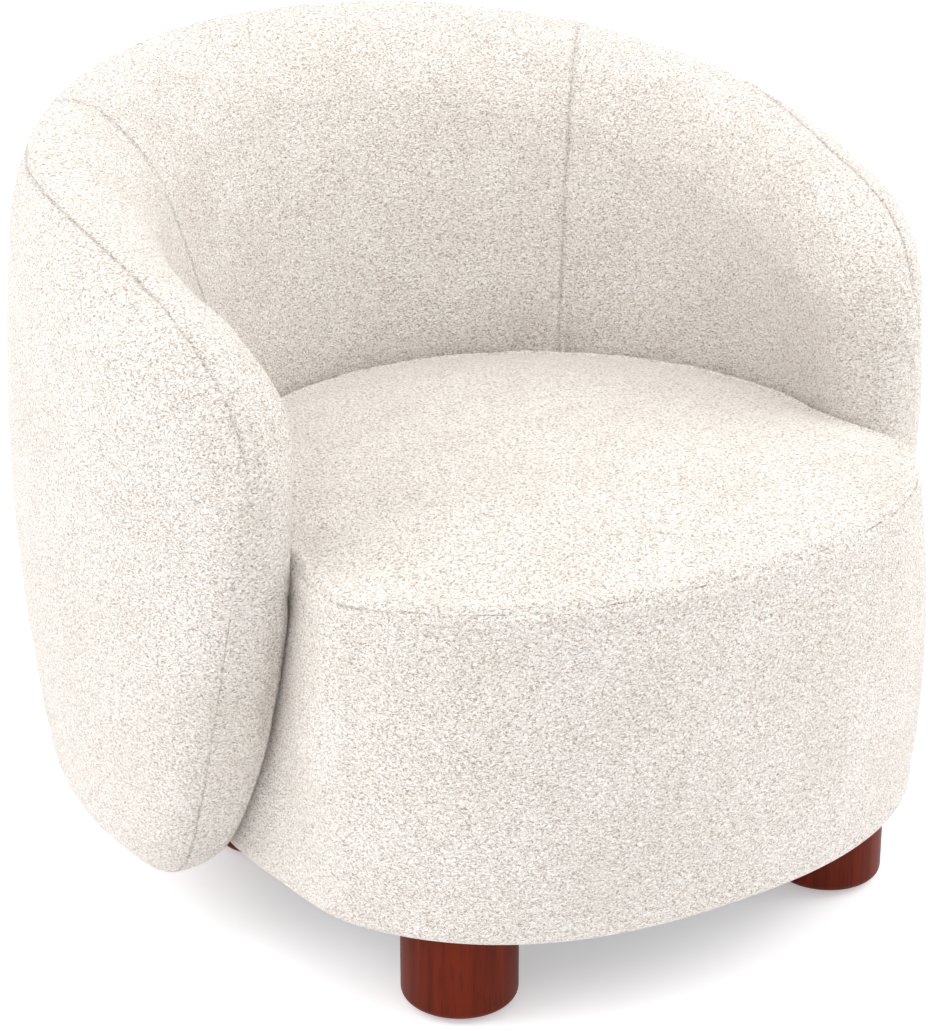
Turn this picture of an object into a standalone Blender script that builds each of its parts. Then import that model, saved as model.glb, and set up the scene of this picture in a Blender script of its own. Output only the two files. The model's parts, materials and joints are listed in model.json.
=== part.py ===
"""Barrel armchair: a wraparound padded shell bolted to a round sprung seat on four turned legs.

Metres, +Z up, the front faces -Y, and the floor is z = 0.
Angles round the chair are degrees from straight back, positive towards +X.
"""

import math

import bmesh
import bpy
import numpy as np
from mathutils import Matrix, Vector

GAP = 0.0003  # between pieces that touch
CLOTH = 0.0025  # thickness of the upholstery cloth with its backing

# Shell: the two walls are circles in plan, and the outer one is the wider and lies further back
INNER_RADIUS = 0.295
INNER_BACK = -0.028  # centre of the inner circle, from the plan centre
OUTER_RADIUS = 0.420
OUTER_BACK = 0.069
WAIST_HEIGHT = 0.39  # where the back starts to recline
RECLINE = 0.160  # how far back the inner back leans by the top of the back
ARM_SPLAY = 0.084  # how far the inner wall stands in, for each metre up
OUTER_TUCK_TOP = 0.025  # how far the outer wall draws in above the waist, and below it
OUTER_TUCK_FOOT = 0.029
SHELL_FOOT = 0.066
BACK_HEIGHT = 0.697
ARM_HEIGHT = 0.592
NOSE_HEIGHT = 0.457  # where the arm reaches furthest forward
NOSE_ANGLE = 109.4
NOSE_START = 86.5  # where rim and foot start towards the nose
NOSE_TAPER = 98.8
NOSE_TIP = 0.3  # the covers stop this far short of the nose's own point
NOSE_SWEEP = 0.52  # how far the inner side of the arm runs ahead of the outer side
SEAM_BACK = 0.80  # place of the seam across the rim, from the inner wall to the outer
SEAM_ARM = 0.60
SEAM_NOSE = 0.70
RIM_ROLL_IN = 0.075
RIM_ROLL_OUT_BACK = 0.036
RIM_ROLL_OUT_ARM = 0.045
FOOT_ROLL_IN = 0.02
FOOT_ROLL_OUT = 0.05
PANEL_SEAM = 40.0  # the two upright seams of the inner back
FOAM_BACK = 0.050  # thickness of the inner foam
FOAM_ARM = 0.026
PANEL_THICK = 0.003
WADDING = 0.008
POST_ANGLES = (-71.5, -49.0, -16.0, 16.0, 49.0, 71.5)
POST_WIDE = 0.032
POST_DEEP = 0.018
RAIL_DEEP = 0.024
RAIL_TALL = 0.028
FRAME_END = 76.0  # the timber stops here, and foam fills the rest of the arm
CREST_DROP = 0.105  # from the rim down to the crest rail
FOOT_RAIL_RISE = 0.034
FACET_EASE = 0.0027  # between layers whose flats don't quite match

# Seat drum
SEAT_CENTRE = -0.013
BESIDE_GAP = 0.004  # between the seat and the shell round it
PLATE_EASE = 0.010  # the seat's plates stand this far in from the padding
SEAM_HALF_WIDTH = 0.331
SEAM_HALF_DEPTH = 0.297
FOOT_HALF_WIDTH = 0.327
FOOT_HALF_DEPTH = 0.314
DRUM_POWER = 2.42
DRUM_BULGE = 0.012
DRUM_FOOT = 0.087
DRUM_FOOT_ROLL = 0.016
SEAT_SEAM = 0.380
SEAT_CROWN = 0.034
HEM = 0.025  # the cloth turned under the drum
BESIDE_ARM = 16.9  # degrees short of the arm's reach: from here back the drum lies between the arms
AHEAD_OF_ARM = 6.1  # degrees past the arm's reach: from here the drum has its own outline
BAND_FOAM = 0.024
BOARD = 0.018
SEAT_RAIL_TOP = 0.300
SEAT_RAIL_WIDE = 0.050
SPRING_COUNT = 4
SPRING_PITCH = 0.100
SPRING_WIRE = 0.0019
SPRING_LOOP = 0.025
SPRING_ARCH = 0.014
INSULATOR = 0.004
FELT_RISE = 0.022  # from the rail top to the felt over the springs
SEAT_POST = 0.040

# Legs
LEG_X = 0.1975
LEG_FRONT = -0.200
LEG_REAR = 0.130
LEG_RADIUS = 0.050
LEG_EDGE = 0.008
GLIDE = 0.004
GLIDE_RADIUS = 0.030
BOLT_RADIUS = 0.004
BOLT_IN_LEG = 0.045
CLEARANCE = 0.0005  # round a bolt in its hole
JOINT_BOLT_HEIGHTS = (0.17, 0.25)
JOINT_ANGLE = 49.0  # a shell post stands here
JOINT_POST_DEPTH = 0.072  # from the shell to the middle of the seat post

SHELL_LEVELS = 12
SHELL_SECTIONS = 16
SHELL_ROLL = 1.5  # how much closer the sections stand towards the noses


def clear_scene():
    for obj in list(bpy.data.objects):
        bpy.data.objects.remove(obj, do_unlink=True)


def make_material(name, colour, roughness, metallic=0.0):
    material = bpy.data.materials.get(name) or bpy.data.materials.new(name)
    material.use_nodes = True
    shader = material.node_tree.nodes["Principled BSDF"]
    shader.inputs["Base Color"].default_value = (*colour, 1.0)
    shader.inputs["Roughness"].default_value = roughness
    shader.inputs["Metallic"].default_value = metallic
    return material


def finishes():
    return {
        "cloth": make_material("ivory_boucle", (0.83, 0.79, 0.73), 0.95),
        "foam": make_material("foam", (0.85, 0.80, 0.62), 0.9),
        "wadding": make_material("wadding", (0.9, 0.9, 0.88), 0.95),
        "timber": make_material("frame_timber", (0.62, 0.45, 0.28), 0.7),
        "board": make_material("fibreboard", (0.45, 0.33, 0.21), 0.8),
        "stain": make_material("stained_leg", (0.17, 0.03, 0.012), 0.35),
        "steel": make_material("zinc_steel", (0.62, 0.62, 0.60), 0.35, 1.0),
        "nylon": make_material("glide_nylon", (0.10, 0.09, 0.08), 0.5),
        "dust": make_material("dust_cloth", (0.03, 0.03, 0.03), 0.9),
    }


def new_object(name, points, faces, material):
    """A closed mesh from points and faces, with doubles merged and its normals outward."""
    mesh = bpy.data.meshes.new(name)
    shape = bmesh.new()
    verts = [shape.verts.new(point) for point in points]
    for face in faces:
        corners = [verts[index] for index in dict.fromkeys(face)]
        if len(corners) > 2:
            shape.faces.new(corners)
    bmesh.ops.remove_doubles(shape, verts=shape.verts, dist=1e-6)
    bmesh.ops.dissolve_degenerate(shape, dist=1e-7, edges=shape.edges)
    bmesh.ops.recalc_face_normals(shape, faces=shape.faces)
    shape.to_mesh(mesh)
    shape.free()
    obj = bpy.data.objects.new(name, mesh)
    bpy.context.scene.collection.objects.link(obj)
    mesh.materials.append(material)
    mesh.shade_smooth()
    mesh.set_sharp_from_angle(angle=math.radians(35))
    return obj


def grid_faces(grid, start=0, wrap_rows=False, wrap_columns=False):
    """Triangles over a grid of points. Each square is split from its low corner nearer the middle.

    Layers that lie on one another are so split alike, and their flats stay parallel.
    """
    rows, columns = grid.shape[:2]
    faces = []
    for i in range(rows - (0 if wrap_rows else 1)):
        for j in range(columns - (0 if wrap_columns else 1)):
            k = (i + 1) % rows
            m = (j + 1) % columns
            a, b = start + i * columns + j, start + k * columns + j
            c, d = start + k * columns + m, start + i * columns + m
            rising = grid[i, j, 2] + grid[k, j, 2] < grid[i, m, 2] + grid[k, m, 2]
            on_right = grid[i, j, 0] + grid[k, m, 0] > 0
            if rising == on_right:
                faces += [(a, b, c), (a, c, d)]
            else:
                faces += [(a, b, d), (b, c, d)]
    return faces


def thick_sheet(name, front, back, material, wrap=False):
    """A sheet between two grids of points, closed round its edges."""
    rows, columns = front.shape[:2]
    count = rows * columns
    faces = grid_faces(front, 0, wrap)
    faces += [tuple(reversed(face)) for face in grid_faces(front, count, wrap)]
    last = rows if wrap else rows - 1
    for i in range(last):
        k = (i + 1) % rows
        for j in (0, columns - 1):
            a, b = i * columns + j, k * columns + j
            faces.append((a, b, count + b, count + a))
    if not wrap:
        for i in (0, rows - 1):
            for j in range(columns - 1):
                a = i * columns + j
                faces.append((a, a + 1, count + a + 1, count + a))
    points = np.concatenate([front.reshape(-1, 3), back.reshape(-1, 3)])
    return new_object(name, points.tolist(), faces, material)


def tube_of_loops(name, loops, material, wrap=False):
    """A solid through closed loops of points, with a flat cap on each end unless it is a ring."""
    rows, columns = loops.shape[:2]
    faces = grid_faces(loops, 0, wrap, True)
    if not wrap:
        faces.append(tuple(range(columns)))
        faces.append(tuple(range((rows - 1) * columns, rows * columns)))
    return new_object(name, loops.reshape(-1, 3).tolist(), faces, material)


def cylinder(name, radius, low, high, place, material, sides=24, bevel=0.0):
    """An upright cylinder from low to high, with its lower edge rounded."""
    shape = bmesh.new()
    bmesh.ops.create_cone(shape, cap_ends=True, segments=sides, radius1=radius, radius2=radius,
                          depth=high - low)
    bmesh.ops.translate(shape, verts=shape.verts, vec=(0, 0, (high + low) / 2))
    if bevel:
        rim = [edge for edge in shape.edges if all(v.co.z < low + 1e-5 for v in edge.verts)]
        bmesh.ops.bevel(shape, geom=rim, offset=bevel, segments=3, profile=0.5, affect="EDGES")
    mesh = bpy.data.meshes.new(name)
    shape.to_mesh(mesh)
    shape.free()
    obj = bpy.data.objects.new(name, mesh)
    bpy.context.scene.collection.objects.link(obj)
    obj.location = place
    mesh.materials.append(material)
    mesh.shade_smooth()
    mesh.set_sharp_from_angle(angle=math.radians(35))
    return obj


def box(name, size, material, matrix):
    shape = bmesh.new()
    bmesh.ops.create_cube(shape, size=1.0)
    bmesh.ops.scale(shape, verts=shape.verts, vec=size)
    mesh = bpy.data.meshes.new(name)
    shape.to_mesh(mesh)
    shape.free()
    obj = bpy.data.objects.new(name, mesh)
    bpy.context.scene.collection.objects.link(obj)
    obj.matrix_world = matrix
    mesh.materials.append(material)
    return obj


def cut(obj, cutter):
    """Cuts one object out of another, and keeps the cutter out of the model."""
    cutter.hide_render = True
    cutter.display_type = "WIRE"
    modifier = obj.modifiers.new("hole", "BOOLEAN")
    modifier.object = cutter
    modifier.operation = "DIFFERENCE"


# ---- shell surfaces -------------------------------------------------------------------------


def circle_reach(centre, radius, turn):
    """Distance from the plan centre to a circle whose centre lies behind it."""
    return centre * np.cos(turn) + np.sqrt(radius**2 - (centre * np.sin(turn)) ** 2)


def inner_wall(degrees, z):
    turn = np.radians(degrees)
    up = np.maximum(z - WAIST_HEIGHT, 0) / (BACK_HEIGHT - WAIST_HEIGHT)
    lean = RECLINE * np.maximum(np.cos(turn), 0) * up
    return circle_reach(INNER_BACK, INNER_RADIUS, turn) + lean - ARM_SPLAY * (z - WAIST_HEIGHT)


def outer_wall(degrees, z):
    turn = np.radians(degrees)
    above = np.maximum(z - WAIST_HEIGHT, 0) / (BACK_HEIGHT - WAIST_HEIGHT)
    below = np.maximum(WAIST_HEIGHT - z, 0) / (WAIST_HEIGHT - SHELL_FOOT)
    tuck = OUTER_TUCK_TOP * above**2 + OUTER_TUCK_FOOT * below**2
    return circle_reach(OUTER_BACK, OUTER_RADIUS, turn) - tuck


def nose_share(degrees):
    share = (np.abs(degrees) - NOSE_START) / (NOSE_ANGLE - NOSE_START)
    return np.clip(share, 0, 1)


def rim_height(degrees):
    """The rim falls with the cosine of the angle, then rounds down to the nose."""
    rim = ARM_HEIGHT + (BACK_HEIGHT - ARM_HEIGHT) * np.cos(np.radians(degrees))
    return NOSE_HEIGHT + (rim - NOSE_HEIGHT) * np.sqrt(1 - nose_share(degrees) ** 3.6)


def foot_height(degrees):
    return SHELL_FOOT + (NOSE_HEIGHT - SHELL_FOOT) * nose_share(degrees) ** 2.3


def nose_cap(degrees):
    share = np.clip((np.abs(degrees) - NOSE_TAPER) / (NOSE_ANGLE - NOSE_TAPER), 0, 1)
    return np.sqrt(1 - share**2)


def ease(value, low, high):
    share = np.clip((value - low) / (high - low), 0, 1)
    return share * share * (3 - 2 * share)


def roll(z, low, high, top_roll, foot_roll):
    """1 up the wall, rounding to 0 at both ends."""
    half = (high - low) / 2 + 1e-9
    top = np.clip((z - high) / np.minimum(top_roll, half) + 1, 0, 1)
    foot = np.clip((low - z) / np.minimum(foot_roll, half) + 1, 0, 1)
    return np.sqrt(1 - top**2) * np.sqrt(1 - foot**2)


def shell_angles():
    """Angles of the sections, closer together towards the noses, with both panel seams between two."""
    share = np.linspace(0, 1, SHELL_SECTIONS)
    right = NOSE_ANGLE * (1 - (1 - share) ** SHELL_ROLL)
    right = np.insert(right, -1, NOSE_ANGLE - NOSE_TIP)
    nearest = np.abs(right - PANEL_SEAM).argmin()
    half_gap = math.degrees(GAP / 2 / INNER_RADIUS) * 1.2
    right = np.concatenate(
        [right[:nearest], [PANEL_SEAM - half_gap, PANEL_SEAM + half_gap], right[nearest + 1 :]]
    )
    return np.concatenate([-right[:0:-1], right])


def place_on_plan(degrees, radius, sweep_from, z):
    """Plan position, with the sides of the arm swept apart along it towards the nose."""
    amount = np.clip((np.abs(degrees) - 60) / (NOSE_ANGLE - 60), 0, 1) ** 2
    sweep = NOSE_SWEEP * amount * (radius - sweep_from) / INNER_RADIUS * 0.87
    turn = np.radians(degrees) - np.sign(degrees) * sweep
    return np.stack([radius * np.sin(turn), radius * np.cos(turn), z + 0 * turn], -1)


def level_heights(degrees):
    """Heights up the shell at each angle, closer together towards the foot and the rim."""
    levels = (1 - np.cos(np.linspace(0, np.pi, SHELL_LEVELS)))[None] / 2
    low, high = foot_height(degrees), rim_height(degrees)
    return low + (high - low) * levels, low, high


def shell_skin(angles):
    """Two grids of points, the outer and the inner side, each from the foot seam to the rim seam."""
    degrees = angles[:, None]
    z, low, high = level_heights(degrees)
    inside, outside = inner_wall(degrees, z), outer_wall(degrees, z)
    thick = outside - inside
    towards_arm = ease(np.abs(degrees), 35, 78)
    seam = SEAM_BACK + (SEAM_ARM - SEAM_BACK) * towards_arm
    seam = seam + (SEAM_NOSE - SEAM_ARM) * ease(np.abs(degrees), 85, NOSE_ANGLE)
    middle = inside + seam * thick
    roll_out = RIM_ROLL_OUT_BACK + (RIM_ROLL_OUT_ARM - RIM_ROLL_OUT_BACK) * towards_arm
    cap = nose_cap(degrees)
    outward = (1 - seam) * thick * cap * roll(z, low, high, roll_out, FOOT_ROLL_OUT)
    inward = seam * thick * cap * roll(z, low, high, RIM_ROLL_IN, FOOT_ROLL_IN)
    outer = place_on_plan(degrees, middle + outward, middle, z)
    inner = place_on_plan(degrees, middle - inward, middle, z)
    return outer, inner


def skin_normals(outer, inner):
    """Outward normals of the closed skin at each point of its two sides."""
    rows, columns = outer.shape[:2]
    ring = np.concatenate([outer, inner[:, -2:0:-1]], axis=1)
    around = ring.shape[1]
    shape = bmesh.new()
    verts = []
    for i in range(rows):
        if i in (0, rows - 1):
            verts += [shape.verts.new(ring[i, 0])] * around
        else:
            verts += [shape.verts.new(point) for point in ring[i]]
    for face in grid_faces(ring, 0, False, True):
        corners = list(dict.fromkeys(verts[index] for index in face))
        if len(corners) > 2:
            shape.faces.new(corners)
    bmesh.ops.recalc_face_normals(shape, faces=shape.faces)
    shape.normal_update()
    normals = np.array([tuple(vert.normal) for vert in verts]).reshape(rows, around, 3)
    shape.free()
    back = np.concatenate([normals[:, :1], normals[:, :columns - 2 : -1]], axis=1)
    return normals[:, :columns], back


def trim_edges(grid, amount):
    """Draws the first and last column of a grid in along the surface, to leave a gap at the seam."""
    trimmed = grid.copy()
    for edge, beside in ((0, 1), (-1, -2)):
        step = grid[:, beside] - grid[:, edge]
        size = np.linalg.norm(step, axis=1, keepdims=True)
        trimmed[:, edge] += step * np.minimum(amount / np.maximum(size, 1e-9), 0.45)
    return trimmed


def build_shell_covers(finish):
    angles = shell_angles()
    outer, inner = shell_skin(angles)
    outer_normals, inner_normals = skin_normals(outer, inner)
    outer_back = outer - CLOTH * outer_normals
    inner_back = inner - CLOTH * inner_normals
    grids = [trim_edges(grid, GAP) for grid in (outer, outer_back, inner, inner_back)]
    inset = slice(1, -1)
    thick_sheet("outer_cover", grids[0][inset], grids[1][inset], finish["cloth"])
    split_left = int(np.searchsorted(angles, -PANEL_SEAM))
    split_right = int(np.searchsorted(angles, PANEL_SEAM))
    spans = {
        "inner_cover_right_arm": slice(1, split_left),
        "inner_cover_back": slice(split_left, split_right),
        "inner_cover_left_arm": slice(split_right, len(angles) - 1),
    }
    for name, span in spans.items():
        thick_sheet(name, grids[2][span], grids[3][span], finish["cloth"])
    return angles, outer, inner, outer_normals, inner_normals


def foam_depth(degrees):
    return FOAM_BACK + (FOAM_ARM - FOAM_BACK) * ease(np.abs(degrees), 35, 70)


def build_shell_foam(finish, skin):
    """The inner foam: it lines the inner cover, rolls over the rim and fills the noses."""
    angles, outer, inner, outer_normals, inner_normals = skin
    inset = CLOTH + GAP * 2
    keep = np.abs(angles) < NOSE_ANGLE - 2 * NOSE_TIP
    degrees = angles[keep][:, None]
    front = (inner - inset * inner_normals)[keep]
    face = (outer - inset * outer_normals)[keep][:, 1:-1]
    z = face[..., 2]
    high = rim_height(degrees)
    fill = np.maximum(ease(z, high - 0.075, high - 0.060),
                      ease(np.abs(degrees), FRAME_END + 6, FRAME_END + 11))
    face_radius = np.hypot(face[..., 0], face[..., 1])
    foam_radius = np.minimum(inner_wall(degrees, z) + inset + foam_depth(degrees), face_radius)
    radius = foam_radius + (face_radius - foam_radius) * fill
    turn = np.arctan2(face[..., 0], face[..., 1])
    rear = np.stack([radius * np.sin(turn), radius * np.cos(turn), z], -1)
    loops = np.concatenate([front, rear[:, ::-1]], axis=1)
    tube_of_loops("shell_foam", loops, finish["foam"])


def frame_angles():
    """The shell's own angles as far as the timber goes."""
    angles = shell_angles()
    inside = angles[np.abs(angles) < FRAME_END - 1]
    return np.concatenate([[-FRAME_END], inside, [FRAME_END]])


def wall_sheet(name, wall, near, far, material):
    """A sheet that follows one wall between two depths from it, short of the rim and the foot."""
    angles = frame_angles()[:, None]
    turn = np.radians(angles)
    z = level_heights(angles)[0][:, 2:-3]
    sides = []
    for depth in (near, far):
        radius = wall(angles, z) + depth
        sides.append(np.stack([radius * np.sin(turn), radius * np.cos(turn), z], -1))
    return thick_sheet(name, sides[0], sides[1], material)


def frame_radius(degrees, z):
    """The middle of the timber, just inside the outer panel."""
    layers = CLOTH + WADDING + PANEL_THICK + 4 * GAP + 2 * FACET_EASE
    return outer_wall(degrees, z) - layers - RAIL_DEEP / 2


def crest_base(degrees):
    return rim_height(degrees) - CREST_DROP - RAIL_TALL


def foot_base(degrees):
    return foot_height(degrees) + FOOT_RAIL_RISE


def bent_rail(name, base, material):
    """A rail of rectangular section round the back and the arms, with its underside at base."""
    angles = frame_angles()[:, None]
    turn = np.radians(angles)
    z = base(angles) + np.array([[0, 0, RAIL_TALL, RAIL_TALL]])
    out = np.array([[-RAIL_DEEP, RAIL_DEEP, RAIL_DEEP, -RAIL_DEEP]]) / 2
    radius = frame_radius(angles, base(angles) + RAIL_TALL / 2 + 0 * z) + out
    radius = np.minimum(radius, frame_radius(angles, z) + RAIL_DEEP / 2)
    loops = np.stack([radius * np.sin(turn), radius * np.cos(turn), z], -1)
    return tube_of_loops(name, loops, material)


def shell_post(name, degrees, material):
    """A post from the foot rail to the crest rail, leaning with the outer wall."""
    turn = math.radians(degrees)
    reach = math.degrees(POST_WIDE / 2 / OUTER_RADIUS) + 1.0
    edges = np.array([degrees - reach, degrees + reach])
    low = foot_base(edges).max() + RAIL_TALL + 2 * GAP
    high = crest_base(edges).min() - 2 * GAP
    loops = []
    for z in (low, (low + high) / 2, high):
        middle = frame_radius(degrees, z) - FACET_EASE
        loop = []
        for across, along in ((-1, -1), (1, -1), (1, 1), (-1, 1)):
            r = middle + along * POST_DEEP / 2
            side = across * POST_WIDE / 2
            loop.append((r * math.sin(turn) + side * math.cos(turn),
                         r * math.cos(turn) - side * math.sin(turn), z))
        loops.append(loop)
    return tube_of_loops(name, np.array(loops), material)


def build_shell_frame(finish):
    depth = CLOTH + GAP + FACET_EASE
    wall_sheet("outer_wadding", outer_wall, -depth, -depth - WADDING, finish["wadding"])
    depth += WADDING + GAP
    wall_sheet("outer_panel", outer_wall, -depth, -depth - PANEL_THICK, finish["board"])
    angles = frame_angles()[:, None]
    depth = CLOTH + 3 * GAP + 2 * FACET_EASE + foam_depth(angles)
    wall_sheet("inner_panel", inner_wall, depth, depth + PANEL_THICK, finish["board"])
    bent_rail("crest_rail", crest_base, finish["timber"])
    bent_rail("foot_rail", foot_base, finish["timber"])
    for number, degrees in enumerate(POST_ANGLES, 1):
        shell_post(f"shell_post_{number}", degrees, finish["timber"])


# ---- seat drum ------------------------------------------------------------------------------


def arm_reach():
    """The angle that the inner side of the arm reaches, swept ahead of its nose."""
    thick = outer_wall(NOSE_ANGLE, WAIST_HEIGHT) - inner_wall(NOSE_ANGLE, WAIST_HEIGHT)
    return NOSE_ANGLE + math.degrees(NOSE_SWEEP * SEAM_NOSE * thick / INNER_RADIUS * 0.87)


def drum_turns():
    """Angles round the drum, with as many again where it swells out ahead of the arms."""
    rear = arm_reach() - BESIDE_ARM - 8
    front = arm_reach() + AHEAD_OF_ARM + 6
    half = np.concatenate([
        np.linspace(0, rear, 8, endpoint=False),
        np.linspace(rear, front, 8, endpoint=False),
        np.linspace(front, 180, 7),
    ])
    return np.concatenate([half, -half[-2:0:-1]])


def rounded_plan(degrees, half_width, half_depth):
    turn = np.radians(degrees)
    wide = np.abs(np.sin(turn)) / half_width
    deep = np.abs(np.cos(turn)) / half_depth
    return (wide**DRUM_POWER + deep**DRUM_POWER) ** (-1 / DRUM_POWER)


def drum_edge(degrees, z):
    """Plan radius of the drum: free ahead of the arms, and held by the shell beside and behind them."""
    share = np.clip((z - DRUM_FOOT) / (SEAT_SEAM - DRUM_FOOT), 0, 1)
    width = FOOT_HALF_WIDTH + (SEAM_HALF_WIDTH - FOOT_HALF_WIDTH) * share
    depth = FOOT_HALF_DEPTH + (SEAM_HALF_DEPTH - FOOT_HALF_DEPTH) * share
    free = rounded_plan(degrees, width, depth)
    free = free + DRUM_BULGE * np.sin(np.pi * share) ** 0.8
    last = arm_reach() - BESIDE_ARM
    beside = np.minimum(np.abs(degrees), last)
    held = inner_wall(beside, np.minimum(z, WAIST_HEIGHT)) - BESIDE_GAP
    held = held - SEAT_CENTRE * np.cos(np.radians(beside))
    return held + (free - held) * ease(np.abs(degrees), last, arm_reach() + AHEAD_OF_ARM)


def on_plan(degrees, radius, z):
    turn = np.radians(degrees)
    x = radius * np.sin(turn)
    y = SEAT_CENTRE + radius * np.cos(turn)
    return np.stack([x + 0 * z, y + 0 * z, z + 0 * x], -1)


def drum_levels(top):
    """Heights up the side of the drum: close together round its rolled foot."""
    roll_steps = np.sin(np.linspace(np.pi / 2, 0, 5)) * DRUM_FOOT_ROLL
    straight = np.linspace(DRUM_FOOT + DRUM_FOOT_ROLL, SEAT_SEAM - GAP, 7)[1:]
    levels = np.concatenate([DRUM_FOOT + DRUM_FOOT_ROLL - roll_steps, straight])
    return np.append(levels[levels < top - 0.005], top)


def drum_side(inset, levels):
    """Points up the side of the drum, a given depth inside its outer face."""
    degrees = drum_turns()[:, None]
    z = levels[None]
    foot = np.clip((DRUM_FOOT + DRUM_FOOT_ROLL - z) / DRUM_FOOT_ROLL, 0, 1)
    slope = np.sqrt(1 - foot**2)
    edge = drum_edge(degrees, z) - DRUM_FOOT_ROLL * (1 - slope) - inset * slope
    return on_plan(degrees, edge, z + inset * foot)


def crown(share):
    """Height of the seat over its seam, from the rim (1) to the middle (0)."""
    return SEAT_CROWN * (1 - share**2.4) ** 0.8


def build_seat_covers(finish):
    degrees = drum_turns()[:, None]
    levels = drum_levels(SEAT_SEAM - GAP)
    sides = []
    for inset in (0.0, CLOTH):
        hem_edge = drum_edge(degrees, DRUM_FOOT + 0 * degrees) - DRUM_FOOT_ROLL - HEM
        hem = on_plan(degrees, hem_edge, DRUM_FOOT + inset + 0 * degrees)
        sides.append(np.concatenate([hem, drum_side(inset, levels)], axis=1))
    thick_sheet("seat_band_cover", sides[0], sides[1], finish["cloth"], wrap=True)
    seat_disc("seat_top_cover", SEAT_SEAM + GAP + CLOTH, CLOTH, 0.0, finish["cloth"])


def seat_disc(name, base, thick, inset, material):
    """A crowned disc over the drum: its top follows the crown, and its underside lies thick below."""
    degrees = drum_turns()
    shares = (1.0, 0.93, 0.82, 0.62, 0.35)
    rings = []
    for down, order in ((0.0, shares), (thick, shares[::-1])):
        for share in order:
            edge = drum_edge(degrees, SEAT_SEAM + 0 * degrees) - inset
            rings.append(on_plan(degrees, edge * share, base + crown(share) - down + 0 * degrees))
    count = len(degrees)
    points = np.concatenate(rings[: len(shares)] + [np.array([[0, SEAT_CENTRE, base + crown(0)]])]
                            + [np.array([[0, SEAT_CENTRE, base + crown(0) - thick]])]
                            + rings[len(shares) :])
    faces = []
    top = len(shares) * count
    for ring in range(len(shares) - 1):
        faces += ring_faces(ring * count, (ring + 1) * count, count)
        start = top + 2 + ring * count
        faces += ring_faces(start, start + count, count)
    for j in range(count):
        k = (j + 1) % count
        faces.append(((len(shares) - 1) * count + j, (len(shares) - 1) * count + k, top))
        faces.append((top + 2 + j, top + 2 + k, top + 1))
    faces += ring_faces(0, top + 2 + (len(shares) - 1) * count, count)
    return new_object(name, points.tolist(), faces, material)


def ring_faces(first, second, count):
    return [(first + j, first + (j + 1) % count, second + (j + 1) % count, second + j)
            for j in range(count)]


def flat_plate(name, inset, low, high, material, hole=None):
    """A plate in the drum's plan, or a ring where a hole is given."""
    degrees = drum_turns()
    edge = drum_edge(degrees, low + 0 * degrees) - inset
    outer = [on_plan(degrees, edge, z + 0 * degrees) for z in (low, high)]
    if hole is None:
        return tube_of_loops(name, np.stack(outer), material)
    inner = [on_plan(degrees, edge - hole, z + 0 * degrees) for z in (high, low)]
    loops = np.stack(outer + inner, axis=1)
    return tube_of_loops(name, loops, material, wrap=True)


def build_seat_padding(finish):
    skin = CLOTH + 2 * GAP
    band_top = SEAT_RAIL_TOP + FELT_RISE + INSULATOR
    outside = drum_side(skin, drum_levels(band_top))
    inside = outside_in(outside, BAND_FOAM)
    thick_sheet("seat_band_foam", outside, inside, finish["foam"], wrap=True)
    flat_plate("spring_felt", skin + BAND_FOAM + 3 * GAP + PLATE_EASE, SEAT_RAIL_TOP + FELT_RISE,
               band_top, finish["wadding"])
    build_seat_foam(finish, skin, band_top + GAP)


def outside_in(grid, depth):
    """A copy of a drum surface, drawn in towards the drum's axis."""
    inner = grid.copy()
    reach = np.hypot(grid[..., 0], grid[..., 1] - SEAT_CENTRE)
    share = 1 - depth / reach
    inner[..., 0] *= share
    inner[..., 1] = SEAT_CENTRE + (grid[..., 1] - SEAT_CENTRE) * share
    return inner


def build_seat_foam(finish, skin, base):
    degrees = drum_turns()
    shares = (1.0, 0.93, 0.82, 0.62, 0.35)
    edge = drum_edge(degrees, SEAT_SEAM + 0 * degrees) - skin
    foot = drum_edge(degrees, base + 0 * degrees) - skin - FACET_EASE
    rings = [on_plan(degrees, foot, base + 0 * degrees)]
    top = SEAT_SEAM - skin - GAP
    for share in shares:
        rings.append(on_plan(degrees, edge * share, top + crown(share) + 0 * degrees))
    count = len(degrees)
    points = np.concatenate(rings + [np.array([[0, SEAT_CENTRE, top + crown(0)]])])
    faces = [tuple(range(count))]
    for ring in range(len(rings) - 1):
        faces += ring_faces(ring * count, (ring + 1) * count, count)
    last = (len(rings) - 1) * count
    faces += [(last + j, last + (j + 1) % count, last + count) for j in range(count)]
    return new_object("seat_foam", points.tolist(), faces, finish["foam"])


def leg_places():
    return {
        "front_right": (-LEG_X, LEG_FRONT),
        "front_left": (LEG_X, LEG_FRONT),
        "rear_right": (-LEG_X, LEG_REAR),
        "rear_left": (LEG_X, LEG_REAR),
    }


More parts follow.
